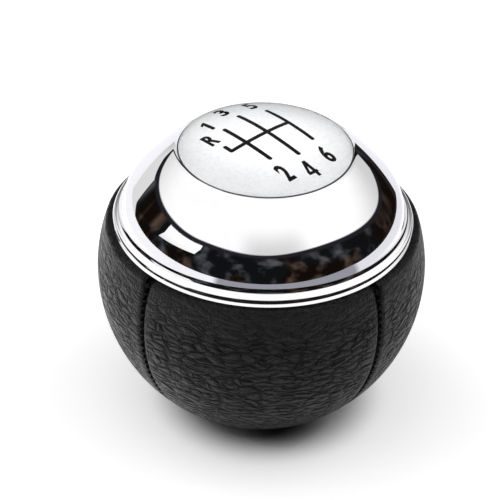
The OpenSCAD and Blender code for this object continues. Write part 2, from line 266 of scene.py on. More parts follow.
def grain_leather(colours):
    """Drum-dyed cowhide, shrunken grain: near black with a low sheen, creased round the ball."""
    made, tree, shader = new_material("grained_cowhide")
    hide = add(tree, "UVMap", uv_map="hide")
    # the grain is weaker near the seams and the hem, where the leather is pulled tight
    tight = add(tree, "Attribute", attribute_name="grain", attribute_type="GEOMETRY")
    tight = tight.outputs["Fac"]
    # the map is read in millimetres, and bent so that no crease runs straight
    flat = add(tree, "VectorMath", (hide, (HIDE_MAP, HIDE_MAP, 0)), operation="MULTIPLY")
    wander = add(
        tree, "TexNoise", {"Vector": flat, "Scale": 0.3, "Detail": 1.0}, noise_dimensions="2D"
    )
    bend = add(tree, "VectorMath", (wander.outputs["Color"], (0.5, 0.5, 0.5)), operation="SUBTRACT")
    bent = add(tree, "VectorMath", (bend, (1.8, 1.2, 0), flat), operation="MULTIPLY_ADD")
    nets, grooves = [], []
    # creases between pebbles 2.9 by 1.25 mm, and finer ones between those of 1.4 by 0.6 mm, each
    # reaching a quarter of a pebble in from its edge
    width = 0.26
    for long, high, deep in ((2.9, 1.25, 0.8), (1.4, 0.6, 0.35)):
        cells = add(tree, "VectorMath", (bent, (1 / long, 1 / high, 0)), operation="MULTIPLY")
        net = add(
            tree, "TexVoronoi", {"Vector": cells, "Scale": 1.0, "Randomness": 1.0},
            feature="DISTANCE_TO_EDGE", voronoi_dimensions="2D",
        )
        # some creases are deep and others fade out
        uneven = add(
            tree, "TexNoise", {"Vector": flat, "Scale": 0.9 / long, "Detail": 2.0},
            noise_dimensions="2D",
        )
        depth = add(tree, "MapRange", (uneven, 0.38, 0.6, 0.3 * deep, deep), **EASED)
        groove = add(tree, "MapRange", (net, width, 0.0), **EASED)
        nets.append(net)
        grooves.append(add(tree, "Math", (groove, depth), operation="MULTIPLY"))
    # drawn wrinkles follow the level lines of a noise of 4.6 by 1.7 mm, round the ball
    drawn = add(tree, "VectorMath", (bent, (1 / 4.6, 1 / 1.7, 0)), operation="MULTIPLY")
    swell = add(
        tree, "TexNoise", {"Vector": drawn, "Scale": 1.0, "Detail": 1.0, "Roughness": 0.4},
        noise_dimensions="2D",
    )
    off = add(tree, "Math", (swell, 0.5), operation="SUBTRACT")
    off = add(tree, "Math", (off,), operation="ABSOLUTE")
    total = add(tree, "MapRange", (off, 0.06, 0.0), **EASED)
    for groove in grooves:
        total = add(tree, "Math", (groove, total), operation="MAXIMUM")
    total = add(tree, "Math", (total, tight), operation="MULTIPLY")
    # each pebble is domed, with pores 0.35 mm apart
    pebble = add(tree, "MapRange", (nets[0], 0.0, 0.5, 0.0, 0.7), **EASED)
    pebble = add(tree, "Math", (pebble, tight), operation="MULTIPLY")
    pores = add(
        tree, "TexNoise", {"Vector": flat, "Scale": 1 / 0.35, "Detail": 2.0}, noise_dimensions="2D"
    )
    height = add(tree, "Math", (pores, 0.5, pebble), operation="MULTIPLY_ADD")
    height = add(tree, "Math", (swell, 1.0, height), operation="MULTIPLY_ADD")
    height = add(tree, "Math", (height, total), operation="SUBTRACT")
    bump = add(tree, "Bump", {"Height": height, "Strength": 1.0, "Distance": 0.48 * MM})
    # painted shade: the creases are coloured darker than the crowns, and their specular level is
    # lowered, for the shade that falls in them
    tone = add(
        tree, "ValToRGB", (total,), ((0.1, colours.leather_crowns), (0.7, colours.leather))
    )
    rough = add(tree, "MapRange", (total, 0.0, 0.7, 0.40, 0.55))
    sheen = add(tree, "MapRange", (total, 0.0, 0.7, 0.27, 0.17))
    feed(tree, shader, {
        "Base Color": tone, "Roughness": rough, "Specular IOR Level": sheen, "Normal": bump,
    })
    return made


def waxed_thread(colours):
    """Bonded polyester thread, twisted and waxed: near black, with a gleam along its strands."""
    made, tree, shader = new_material("waxed_thread")
    place = add(tree, "TexCoord").outputs["Object"]
    twist = add(
        tree, "TexWave", {"Vector": place, "Scale": 2200.0, "Distortion": 1.5},
        bands_direction="DIAGONAL",
    ).outputs["Fac"]
    bump = add(tree, "Bump", {"Height": twist, "Strength": 0.8, "Distance": 0.03 * MM})
    tone = add(tree, "ValToRGB", (twist,), ((0.0, linear("050506")), (1.0, colours.thread)))
    feed(tree, shader, {
        "Base Color": tone, "Roughness": 0.6, "Specular IOR Level": 0.15, "Normal": bump,
    })
    return made


def bright_chrome(colours):
    """Chrome-plated ABS: a mirror with the faint haze that handling and wiping leave."""
    made, tree, shader = new_material("bright_chrome")
    place = add(tree, "TexCoord").outputs["Object"]
    # haze in patches 11 mm across
    haze = add(tree, "TexNoise", {"Vector": place, "Scale": 90.0, "Detail": 5.0, "Roughness": 0.6})
    rough = add(tree, "MapRange", (haze, 0.35, 0.7, 0.004, 0.03))
    tone = add(tree, "ValToRGB", (haze,), ((0.4, colours.chrome), (0.8, linear("ECECEE"))))
    # the plating follows the moulding's very slight waviness, 6 mm across
    wave = add(tree, "TexNoise", {"Vector": place, "Scale": 160.0, "Detail": 1.0})
    bump = add(tree, "Bump", {"Height": wave, "Strength": 0.15, "Distance": 0.008 * MM})
    feed(tree, shader, {"Base Color": tone, "Metallic": 1.0, "Roughness": rough, "Normal": bump})
    return made


def silver_lacquer(colours):
    """Silver lacquer on an aluminium disc: pearly, with the fine sparkle of its flakes."""
    made, tree, shader = new_material("silver_lacquer")
    place = add(tree, "TexCoord").outputs["Object"]
    # flakes of 0.16 mm, many times their real size so that they show
    flakes = add(tree, "TexVoronoi", {"Vector": place, "Scale": 1 / (0.16 * MM)})
    cloud = add(
        tree, "TexNoise",
        {"Vector": place, "Scale": 1 / (0.5 * MM), "Detail": 3.0, "Roughness": 0.7},
    )
    tone = add(tree, "ValToRGB", (cloud,), ((0.3, linear("F3F3F4")), (0.6, colours.disc)))
    # painted shade: the silver is coloured greyer across the disc, towards its side away from the
    # camera
    across = add(tree, "VectorMath", (place, (0.695, 0.719, 0)), operation="DOT_PRODUCT")
    far_side_shade = add(tree, "MapRange", (across, -8 * MM, 14 * MM, 1.0, 0.68), **EASED)
    tone = add(tree, "VectorMath", {0: tone, "Scale": far_side_shade}, operation="SCALE")
    bump = add(tree, "Bump", {"Height": flakes, "Strength": 0.5, "Distance": 0.01 * MM})
    feed(tree, shader, {"Base Color": tone, "Metallic": 0.5, "Roughness": 0.42, "Normal": bump})
    return made


def screen_ink(colours):
    """Screen-printed ink: brown-black and even, a little rough at the weave of the screen."""
    made, tree, shader = new_material("screen_ink")
    place = add(tree, "TexCoord").outputs["Object"]
    weave = add(tree, "TexNoise", {"Vector": place, "Scale": 1 / (0.12 * MM), "Detail": 2.0})
    tone = add(tree, "ValToRGB", (weave,), ((0.3, colours.ink), (0.8, linear("181212"))))
    bump = add(tree, "Bump", {"Height": weave, "Strength": 0.4, "Distance": 0.004 * MM})
    feed(tree, shader, {
        "Base Color": tone, "Roughness": 0.6, "Specular IOR Level": 0.0, "Normal": bump,
    })
    return made


def clear_acrylic():
    """Cast acrylic, polished: clear, with wiping marks that only a low light shows."""
    made, tree, shader = new_material("clear_acrylic")
    place = add(tree, "TexCoord").outputs["Object"]
    # wiping marks 3.3 mm across
    wipe = add(tree, "TexNoise", {"Vector": place, "Scale": 300.0, "Detail": 3.0})
    rough = add(tree, "MapRange", (wipe, 0.4, 0.8, 0.0, 0.012))
    feed(tree, shader, {
        "Base Color": (*linear("FBFCFD"), 1), "Roughness": rough, "IOR": 1.49,
        "Transmission Weight": 1.0,
    })
    return made


def grained(name, first, second, grain, depth, rough, metallic=0.0):
    """A moulded, cast or drawn surface: two near tones and a grain of one size, in millimetres."""
    made, tree, shader = new_material(name)
    place = add(tree, "TexCoord").outputs["Object"]
    specks = add(tree, "TexNoise", {"Vector": place, "Scale": 1 / (grain * MM), "Detail": 3.0})
    broad = add(tree, "TexNoise", {"Vector": place, "Scale": 1 / (6 * MM), "Detail": 2.0})
    tone = add(tree, "ValToRGB", (broad,), ((0.3, linear(first)), (0.7, linear(second))))
    uneven = add(tree, "MapRange", (specks, 0.3, 0.7, rough - 0.06, rough + 0.06))
    bump = add(tree, "Bump", {"Height": specks, "Strength": 0.6, "Distance": depth * MM})
    feed(tree, shader, {
        "Base Color": tone, "Metallic": metallic, "Roughness": uneven, "Normal": bump,
    })
    return made


# the camera fitted to the photograph: degrees round the knob's axis, up from the table and about
# the line of sight, mm from the ball's middle, and the focal length and frame in pixels
CAMERA_TURN, CAMERA_RISE, CAMERA_ROLL = 226.01, 35.325, 2.1317
CAMERA_AWAY = 393.53
FOCAL, FRAME_WIDE = 2471.63, 500
SENSOR = 36
SHIFT_X, SHIFT_Y = -0.02278, 0.02512
TO_CAMERA = (0, 0, math.radians(-CAMERA_TURN))
# the height, in radians, at which the softbox's white begins, as a curve of how far a direction
# faces the camera, and its lowest value; and how bright the softbox is
EDGE_CURVE = (-0.1442, 0.4496, 0.5061)
EDGE_LOWEST = 0.052
SOFTBOX = 1.16
WHITE = (1, 1, 1, 1)
# the table's radius, and how far behind the knob its middle lies, in metres
TABLE_R, TABLE_BACK = 0.6, 0.32


def studio_world(scene):
    """White softbox overhead and a white backdrop, with the dark of the room low in front."""
    world = bpy.data.worlds.new("studio")
    scene.world = world
    world.use_nodes = True
    tree = world.node_tree
    tree.nodes.clear()
    path = add(tree, "LightPath")
    sky = add(tree, "TexCoord").outputs["Generated"]
    # directions with X towards the camera and Y to its right, then their height as an angle
    faced = add(tree, "Mapping", {"Vector": sky, "Rotation": TO_CAMERA})
    up = add(tree, "SeparateXYZ", (faced,)).outputs["Z"]
    rise = add(tree, "Math", (up,), operation="ARCSINE")
    level = add(tree, "VectorMath", (faced, (1, 1, 0)), operation="MULTIPLY")
    level = add(tree, "VectorMath", (level,), operation="NORMALIZE")
    parts = add(tree, "SeparateXYZ", (level,))
    ahead, aside = parts.outputs["X"], parts.outputs["Y"]
    # the white begins 46 degrees up in front, 29 at the sides and 3 behind, and a little higher
    # behind on the left, as the chrome shows
    edge = EDGE_CURVE[0]
    for term in EDGE_CURVE[1:]:
        edge = add(tree, "Math", (edge, ahead, term), operation="MULTIPLY_ADD")
    edge = add(tree, "Math", (edge, EDGE_LOWEST), operation="MAXIMUM")
    left = add(tree, "MapRange", (aside, 0.0, -0.3), **EASED)
    behind = add(tree, "MapRange", (ahead, 0.5, -0.6, 0.0, 0.065), **EASED)
    edge = add(tree, "Math", (left, behind, edge), operation="MULTIPLY_ADD")
    above = add(tree, "Math", (rise, edge), operation="SUBTRACT")
    white = add(tree, "MapRange", (above, -0.005, 0.005), **EASED)
    # in front, 13 degrees to the right, the softbox pales to grey at its lower edge
    low = add(tree, "MapRange", (above, 0.22, 0.0, 0.0, 0.42), **EASED)
    front = add(tree, "VectorMath", (level, (0.974, 0.225, 0)), operation="DOT_PRODUCT")
    front = add(tree, "MapRange", (front, 0.74, 1.0), **EASED)
    glow = add(tree, "Math", (low, front), operation="MULTIPLY")
    glow = add(tree, "Math", (SOFTBOX, glow), operation="SUBTRACT")
    # low down the backdrop is a little darker, most of all on the right
    fall = add(tree, "MapRange", (rise, 0.6, 0.1), **EASED)
    shade = add(tree, "Math", (aside, 0.06, 0.42), operation="MULTIPLY_ADD")
    shade = add(tree, "Math", (fall, shade), operation="MULTIPLY")
    glow = add(tree, "Math", (glow, shade), operation="SUBTRACT")
    # the wall over the backdrop, which leaves the print under the lens dark
    far = add(tree, "Math", (up, -0.25, ahead), operation="MULTIPLY_ADD")
    wall = add(tree, "MapRange", (far, -0.82, -0.99, 0.0, 0.85), **EASED)
    for outside, inside in ((-0.06, -0.03), (1.5, 1.2)):
        within = add(tree, "MapRange", (rise, outside, inside), **EASED)
        wall = add(tree, "Math", (wall, within), operation="MULTIPLY")
    wall = add(tree, "Math", (1.0, wall), operation="SUBTRACT")
    glow = add(tree, "Math", (glow, wall), operation="MULTIPLY")
    # upright shapes in the dark, with a near-black line where the softbox's frame ends
    upright = add(tree, "Mapping", {"Vector": faced, "Scale": (4.5, 4.5, 1.8)})
    shapes = add(
        tree, "TexNoise", {"Vector": upright, "Scale": 1.0, "Detail": 2.0, "Roughness": 0.5}
    )
    warm = add(tree, "TexNoise", {"Vector": upright, "Scale": 0.4, "Detail": 1.0})
    pale = add(
        tree, "ValToRGB", (warm,), ((0.42, linear("5C4A40")), (0.55, linear("5A5C62")))
    )
    depth = add(tree, "MapRange", (shapes, 0.45, 0.75, 0.06, 0.9), **EASED)
    room = add(tree, "VectorMath", {0: pale, "Scale": depth}, operation="SCALE")
    frame_line = add(tree, "MapRange", (above, -0.035, -0.02), **EASED)
    room = add(tree, "Mix", {0: frame_line, 6: room, 7: (*linear("232228"), 1)}, data_type="RGBA")
    # a small light beside the camera, and the backdrop's slanting edge on the left
    lamp = 1.0
    for patch in ((above, -0.155, 0.125), (aside, -0.88, 0.13), (ahead, 0.28, 0.28)):
        within = add(tree, "Math", patch, operation="COMPARE")
        lamp = add(tree, "Math", (lamp, within), operation="MULTIPLY")
    slant = add(tree, "Math", (ahead, -1.386, -0.725), operation="MULTIPLY_ADD")
    cloth = add(tree, "Math", (slant, rise), operation="GREATER_THAN")
    for source, limit in ((above, -0.04), (aside, -0.3)):
        below = add(tree, "Math", (source, limit), operation="LESS_THAN")
        cloth = add(tree, "Math", (cloth, below), operation="MULTIPLY")
    for other in (lamp, cloth):
        white = add(tree, "Math", (white, other), operation="MAXIMUM")
    seen = add(tree, "Mix", {0: white, 6: room, 7: glow}, data_type="RGBA")
    # light that comes in through the lens is evened out, and stronger for what it loses there
    through = add(tree, "MapRange", (rise, 0.1, 0.9, 1.9, 2.35))
    for rays, instead in (("Is Transmission Ray", through), ("Is Camera Ray", WHITE)):
        seen = add(tree, "Mix", {0: path.outputs[rays], 6: seen, 7: instead}, data_type="RGBA")
    back = add(tree, "Background", {"Color": seen, "Strength": 1.0})
    add(tree, "OutputWorld", {"Surface": back})


def white_table():
    """Matt white board: it takes the knob's shadow, with a painted contact shadow at the foot and a
    painted glow lifting it to white further out, and the chrome sees painted greys on it far in
    front.
    """
    made, tree, shader = new_material("white_board")
    path = add(tree, "LightPath")
    place = add(tree, "TexCoord").outputs["Object"]
    fibres = add(tree, "TexNoise", {"Vector": place, "Scale": 700.0, "Detail": 3.0})
    board = add(
        tree, "ValToRGB", (fibres,), ((0.0, linear("F8F8F8")), (1.0, linear("FCFCFC")))
    )
    away = add(tree, "VectorMath", (place,), operation="LENGTH")
    faced = add(tree, "Mapping", {"Vector": place, "Rotation": TO_CAMERA})
    parts = add(tree, "SeparateXYZ", (faced,))
    ahead = add(tree, "Math", (parts.outputs["X"], away), operation="DIVIDE")
    # the grey part lies round a direction 20 degrees to the right of the camera
    toward = add(tree, "VectorMath", (faced, (0.940, 0.342, 0)), operation="DOT_PRODUCT")
    toward = add(tree, "Math", (toward, away), operation="DIVIDE")
    front = add(tree, "MapRange", (toward, 0.57, 0.66), **EASED)
    side = add(tree, "Math", (parts.outputs["Y"], away), operation="DIVIDE")
    sides = add(
        tree, "ValToRGB", (side,), ((0.0, linear("EBEBEF")), (0.8, linear("DADADF")))
    )
    # painted reflection: on the right, beyond a third of a metre, glossy rays see the board in the
    # dark room's colour
    ends = add(tree, "Math", (away, 0.34), operation="GREATER_THAN")
    right = add(tree, "Math", (side, 0.2), operation="GREATER_THAN")
    ends = add(tree, "Math", (ends, right), operation="MULTIPLY")
    # painted shade: behind the knob, glossy rays see the board in the wall's shade, which leaves
    # the lens's far side clear
    rear = add(tree, "MapRange", (ahead, -0.965, -0.985), **EASED)
    # painted reflection: far from the knob, glossy rays see the board in these greys, for the far
    # table, the dark room on the right and the wall's shade behind
    grey = sides
    for part, code in ((ends, "241E1C"), (front, "8D8E97"), (rear, "4A4A4E")):
        grey = add(tree, "Mix", {0: part, 6: grey, 7: (*linear(code), 1)}, data_type="RGBA")
    # painted shade: near the knob, in front, the board is coloured darker for all but camera rays,
    # so that it throws less light back at the leather, and the painted contact shadow below makes
    # it darkest at the foot
    fore = add(tree, "MapRange", (ahead, 0.1, 0.8, 0.0, 0.25), **EASED)
    leftward = add(tree, "MapRange", (side, -0.3, -0.8, 0.0, 0.6), **EASED)
    fore = add(tree, "Math", (fore, leftward), operation="SUBTRACT")
    painted_bounce_shade = add(tree, "Math", (1.0, path.outputs["Is Camera Ray"]), operation="SUBTRACT")
    painted_bounce_shade = add(tree, "Math", (painted_bounce_shade, fore), operation="MULTIPLY")
    painted_bounce_shade = add(tree, "Math", (1.0, painted_bounce_shade), operation="SUBTRACT")
    # painted contact shadow: the board's colour falls to a quarter within 5 to 9.5 mm of a point 4
    # mm right of the axis, drawn out front to back
    foot = (faced, (0.55, 1, 0), (0, -4.0 * MM, 0))
    foot = add(tree, "VectorMath", foot, operation="MULTIPLY_ADD")
    foot = add(tree, "VectorMath", (foot,), operation="LENGTH")
    foot = add(tree, "MapRange", (foot, 0.0050, 0.0095, 0.25), **EASED)
    shade = add(tree, "Math", (painted_bounce_shade, foot), operation="MULTIPLY")
    board = add(tree, "VectorMath", {0: board, "Scale": shade}, operation="SCALE")
    far = add(tree, "MapRange", (away, 0.085, 0.12), **EASED)
    far_gloss = add(tree, "Math", (far, path.outputs["Is Glossy Ray"]), operation="MULTIPLY")
    tone = add(tree, "Mix", {0: far_gloss, 6: board, 7: grey}, data_type="RGBA")
    feed(tree, shader, {"Base Color": tone, "Roughness": 0.9, "Specular IOR Level": 0.0})
    # painted light: beyond the contact shadow the board glows, lifting it to white for all but
    # diffuse rays, so not for the light it throws back
    seen = add(
        tree, "Math", (1.0, path.outputs["Is Diffuse Ray"]), operation="SUBTRACT", use_clamp=True
    )
    # the painted glow begins a little further out on the right, so the shadow reaches further there
    under = add(tree, "VectorMath", (faced, (0, -1.6 * MM, 0)), operation="ADD")
    under = add(tree, "VectorMath", (under,), operation="LENGTH")
    open_up = add(tree, "MapRange", (under, 0.012, 0.0205, 0.0, 0.5), **EASED)
    painted_glow = add(tree, "Math", (seen, open_up), operation="MULTIPLY")
    feed(tree, shader, {"Emission Color": tone, "Emission Strength": painted_glow})
    return made


def place_camera(scene):
    """The camera stands where the photograph was taken."""
    data = bpy.data.cameras.new("camera")
    camera = bpy.data.objects.new("camera", data)
    scene.collection.objects.link(camera)
    target = Vector((0, 0, BALL_Z)) * MM
    rise, turned, roll = map(math.radians, (CAMERA_RISE, CAMERA_TURN, CAMERA_ROLL))
    back = Vector((
        math.cos(turned) * math.cos(rise), math.sin(turned) * math.cos(rise), math.sin(rise)
    ))
    right = (-back).cross(Vector((0, 0, 1))).normalized()
    up = right.cross(-back)
    across = math.cos(roll) * right + math.sin(roll) * up
    upward = -math.sin(roll) * right + math.cos(roll) * up
    pose = Matrix((across, upward, back)).transposed().to_4x4()
    pose.translation = target + back * CAMERA_AWAY * MM
    camera.matrix_world = pose
    data.sensor_width = SENSOR
    data.lens = FOCAL / FRAME_WIDE * SENSOR
    data.shift_x, data.shift_y = SHIFT_X, SHIFT_Y
    data.clip_start, data.clip_end = 0.01, 10
    scene.camera = camera


def hang_lamp(scene, name, place, size, watts):
    """A square softbox that faces the knob and doesn't show in the chrome."""
    data = bpy.data.lights.new(name, "AREA")
    data.shape, data.size, data.energy = "SQUARE", size, watts
    lamp = bpy.data.objects.new(name, data)
    scene.collection.objects.link(lamp)
    lamp.location = place
    towards = Vector((0, 0, BALL_Z * MM)) - Vector(place)
    lamp.rotation_euler = towards.to_track_quat("-Z", "Y").to_euler()
    lamp.visible_glossy = False
    lamp.visible_transmission = False


class GEARKNOB_OT_stage(bpy.types.Operator):
    """Sets out the table, the studio light and the camera"""

    bl_idname = "gearknob.stage"
    bl_label = "Stage"

    def execute(self, context):
        scene = context.scene
        scene.view_settings.view_transform = "Standard"
        studio_world(scene)
        clear_selection()
        middle = -TABLE_BACK * ray(CAMERA_TURN)
        bpy.ops.mesh.primitive_circle_add(
            vertices=128, radius=TABLE_R, fill_type="NGON", location=(*middle, 0)
        )
        table = context.object
        table.name = "table_top"
        bpy.ops.object.transform_apply(location=True)
        table.data.materials.append(white_table())
        hang_lamp(scene, "softbox_over", place=(-0.10, 0.12, 0.62), size=0.4, watts=0.3)
        place_camera(scene)
        return {"FINISHED"}


# the leather in mm: the roll of its hems, the unit of its map, where the slits open towards the
# rim and by how much, the puckers at the stitches, how far from a seam they and the spreading
# reach, and the first and last stitch, down from the ball's middle
HEM_ROLL = 0.65
HIDE_MAP = 200
SLIT_FROM, SLIT_WIDE = 28.5, 0.5
PUCKER, PUCKER_REACH, SPREAD_REACH = 0.07, 1.2, 3.0
FIRST_STITCH, LAST_STITCH = -7.5, 30


def hide_outline():
    """The leather's outer surface cut through the axis, from its upper hem to its lower one."""
    roll = HEM_ROLL
    upper = math.degrees(math.asin((RIM_Z - roll - BALL_Z) / (BALL_R - roll)))
    lower = math.degrees(math.asin((BALL_Z - HEM_Z - roll) / (LOWER_R - roll)))
    upper_r = (BALL_R - roll) * math.cos(math.radians(upper))
    lower_r = (LOWER_R - roll) * math.cos(math.radians(lower)) + LOWER_CENTRE
    # flat under the ring, round the ball, and flat round the foot
    points = [(21.9, RIM_Z), (22.6, RIM_Z), (23.4, RIM_Z)]
    points += arc((upper_r, RIM_Z - roll), roll, 90, upper, 12)
    points += arc((0, BALL_Z), BALL_R, upper, 0, 0.6)[1:]
    points += arc((LOWER_CENTRE, BALL_Z), LOWER_R, 0, -lower, 0.6)[1:]
    points += arc((lower_r, HEM_Z + roll), roll, -lower, -90, 13)[1:]
    points += [(9.2, HEM_Z), (8.1, HEM_Z)]
    return points


def along_hide(place):
    """Distance down the leather from the ball's middle height, in millimetres."""
    out = math.hypot(place.x, place.y)
    if place.z > BALL_Z:
        return -BALL_R * math.atan2(place.z - BALL_Z, out)
    return LOWER_R * math.atan2(BALL_Z - place.z, out - LOWER_CENTRE)


def shape_panel(piece, middle, sizes):
    """Rolls a panel's sides in to its seams, puckers them at each stitch, and maps the hide."""
    roll, gap, pitch = (size / MM for size in (sizes.seam_roll, sizes.seam_gap, sizes.stitch_pitch))
    mesh = piece.data
    hide, grain, moved = [], [], []
    for vert in mesh.vertices:
        place = vert.co / MM
        turn_by = math.remainder(math.atan2(place.y, place.x) - middle, math.tau)
        radius = math.hypot(place.x, place.y)
        inset = radius * (math.pi / 4 - abs(turn_by))
        down = along_hide(place)
        near = max(0.0, 1 - inset / roll)
        depth = roll * (1 - math.sqrt(max(0.0, 1 - near * near)))
        # the hem under the ring stays flat
        if place.z > RIM_Z - 0.02 and radius < 23.9:
            depth = 0.0
        # the slit opens towards the rim, where the corner of each panel is cut round
        open_up = max(0.0, min(1.0, (place.z - SLIT_FROM) / (RIM_Z - SLIT_FROM)))
        wide = gap + SLIT_WIDE * open_up**3
        if FIRST_STITCH - 1.5 < down < LAST_STITCH + 3:
            pucker = PUCKER * math.cos(math.tau * down / pitch)
            wide += pucker * max(0.0, 1 - inset / PUCKER_REACH)
        wide *= max(0.0, 1 - inset / SPREAD_REACH)
        side = 1 if turn_by > 0 else -1
        tangent = Vector((math.sin(turn_by + middle), -math.cos(turn_by + middle), 0)) * side
        moved.append(place + tangent * wide - vert.normal * depth)
        hide.append(((turn_by + middle) * BALL_R / HIDE_MAP, down / HIDE_MAP))
        # the grain comes back 2.8 mm from a seam and 6.6 mm below the rim
        calm = min(1.0, max(0.0, (inset - 0.6) / 2.2))
        calm *= min(1.0, max(0.15, (RIM_Z - 0.6 - place.z) / 6.0))
        grain.append(0.12 + 0.88 * calm)
    layer = mesh.uv_layers.new(name="hide")
    for loop in mesh.loops:
        layer.data[loop.index].uv = hide[loop.vertex_index]
    held = mesh.attributes.new("grain", "FLOAT", "POINT")
    held.data.foreach_set("value", grain)
    for vert, place in zip(mesh.vertices, moved):
        vert.co = place * MM


class GEARKNOB_OT_leather(bpy.types.Operator):
    """Cuts and forms the four leather panels"""

    bl_idname = "gearknob.leather"
    bl_label = "Leather Panels"

    def execute(self, context):
        sizes, colours = context.scene.knob_sizes, context.scene.knob_colours
        cut = draw_outline("leather_blank", hide_outline())
        bpy.ops.mesh.select_all(action="SELECT")
        axis = {"center": (0, 0, 0), "axis": (0, 0, 1)}
        for steps, degrees in ((18, 3.6), (130, 82.8), (18, 3.6)):
            bpy.ops.mesh.spin(steps=steps, angle=math.radians(degrees), **axis)
        close_up(cut)
        leather = grain_leather(colours)
        names = ("front_right", "front_left", "rear_left", "rear_right")
        for number, name in enumerate(names):
            panel = cut.copy()
            panel.data = cut.data.copy()
            panel.name = panel.data.name = "leather_panel_" + name
            context.scene.collection.objects.link(panel)
            # the blank was spun from 0 to -90 degrees
            panel.data.transform(spun(90 * number + 90))
            shape_panel(panel, math.radians(45 + 90 * number), sizes)
            panel.data.transform(spun(SEAM_TURN))
            apply(panel, "SOLIDIFY", thickness=sizes.leather_t, offset=-1)
            smooth(panel, 60)
            finish(panel, leather, "leather", "leather_" + name)
        bpy.data.objects.remove(cut)
        return {"FINISHED"}


class GEARKNOB_OT_stitches(bpy.types.Operator):
    """Sews the four seams with single slanted stitches"""

    bl_idname = "gearknob.stitches"
    bl_label = "Seam Stitches"

    def execute(self, context):
        sizes, colours = context.scene.knob_sizes, context.scene.knob_colours
        clear_selection()
        bpy.ops.mesh.primitive_circle_add(vertices=8, radius=sizes.thread_r, fill_type="NGON")
        stitch = context.object
        bpy.ops.object.mode_set(mode="EDIT")
        bpy.ops.mesh.select_all(action="SELECT")
        # half the stitch's width, and how deep its legs go below the leather's surface
        half, sunk = 0.55, 0.72
        bpy.ops.transform.translate(value=(half * MM, 0, 0))
        bpy.ops.mesh.spin(steps=7, angle=math.pi, center=(0, 0, 0), axis=(0, 1, 0))
        close_up(stitch)
        made = []
        across = Vector((0, 1, 0))
        pitch = sizes.stitch_pitch / MM
        for seam in range(4):
            for number in range(1 + int((LAST_STITCH - FIRST_STITCH) / pitch)):
                down = FIRST_STITCH + number * pitch
                radius, centre = (BALL_R, 0) if down < 0 else (LOWER_R, LOWER_CENTRE)
                out = Vector((math.cos(-down / radius), 0, math.sin(-down / radius)))
                seat = Matrix((across, out.cross(across), out)).transposed().to_4x4()
                seat.translation = (Vector((centre, 0, BALL_Z)) + out * (radius - sunk)) * MM
                # no two stitches lean quite alike
                lean = spun(16 + 5 * math.sin(number * 2.3 + seam))
                copy = stitch.copy()
                copy.data = stitch.data.copy()
                context.scene.collection.objects.link(copy)
                copy.data.transform(spun(90 * seam + SEAM_TURN) @ seat @ lean)
                made.append(copy)
        bpy.data.objects.remove(stitch)
        choose(*made)
        bpy.ops.object.join()
        seams = context.object
        seams.name = seams.data.name = "seam_stitches"
        smooth(seams, 60)
        finish(seams, waxed_thread(colours), "thread", "seam_thread")
        return {"FINISHED"}


def cap_outline():
    """The cap cut through the axis: bead, hollow, shoulder, slope, lens seat and inner wall."""
    shoulder_r, hollow_r, bead_r, wall, seat_r = 8, 1.5, 0.8, 1.8, LENS_R + 0.05
    # degrees at which the shoulder meets the hollow and the slope, and the hollow the bead
    lean, start, turns = 9.0, 40.0, 68
    shoulder = Vector((14.3, 35.35))
    hollow = shoulder + (shoulder_r + hollow_r) * ray(lean)
    bead = hollow - (hollow_r + bead_r) * ray(turns)
    begin = shoulder + shoulder_r * ray(start)
    # the slope is the arc from there to the lens's rim
    span = Vector((seat_r, LENS_RIM_Z)) - begin
    slope_r = -span.dot(span) / (2 * span.dot(ray(start)))
    slope = begin - slope_r * ray(start)
    top = math.degrees(math.atan2(LENS_RIM_Z - slope.y, seat_r - slope.x))
    foot = JOINT_Z + 0.03
    low = math.degrees(math.asin((foot - bead.y) / bead_r))
    points = arc(bead, bead_r, low, turns, 5)
    points += arc(hollow, hollow_r, 180 + turns, 180 + lean, 4)[1:]
    points += arc(shoulder, shoulder_r, lean, start, 1.5)[1:]
    points += arc(slope, slope_r, start, top - 0.15, 0.7)[1:]
    points += [(seat_r + out, LENS_RIM_Z - down) for out, down in ((0.05, 0.015), (0.01, 0.05))]
    # the lens's seat, with a hole in its floor
    floor, under, hole_r = 45.6, 44.0, 3.0
    points += [(seat_r, LENS_RIM_Z - 0.12), (seat_r, floor), (hole_r, floor)]
    points += [(hole_r, under), (16.0, under)]
    points += arc(shoulder, shoulder_r - wall, 60, 0, 6)
    points += [(20.5, foot), points[0]]
    return points


def ring_outline():
    """The lower ring: two sloping faces with a fine step between, and the neck under the cap."""
    foot, top = RIM_Z + 0.05, JOINT_Z - 0.05
    lip = Vector((23.45, foot + 0.05))
    # each slope by its length and the way it leans in
    step = lip + 0.47 * ray(90 + 45)
    shelf = step + Vector((0, 0.06)) + 0.3 * ray(90 + 50)
    return [
        (21.4, foot), (23.43, foot), (23.45, foot + 0.02), lip, lip + Vector((-0.02, 0.017)),
        step + Vector((0.015, -0.013)), step, step + Vector((0, 0.06)),
        step + Vector((-0.02, 0.073)), shelf, (22.6, shelf.y), (22.6, top), (21.4, top),
        (21.4, foot),
    ]


class GEARKNOB_OT_plating(bpy.types.Operator):
    """Turns the chrome cap and the ring below it"""

    bl_idname = "gearknob.plating"
    bl_label = "Chrome Cap and Ring"

    def execute(self, context):
        sizes, colours = context.scene.knob_sizes, context.scene.knob_colours
        chrome = bright_chrome(colours)
        cap = turn("plated_cap", cap_outline(), sizes.turn_steps)
        finish(cap, chrome, "chrome_plating", "chrome_cap")
        ring = turn("plated_ring", ring_outline(), sizes.turn_steps)
        finish(ring, chrome, "chrome_plating", "trim_ring")
        return {"FINISHED"}


# the shift pattern in mm: the line across, each gate's place across and its two ends, and reverse
CROSS_Y = 1.85
GATES = ((-2.1, 6.9, -3.5), (1.95, 8.3, -5.2), (6.2, 6.8, -3.65))
REVERSE_X = -5.05
REVERSE_TOP = 3.55
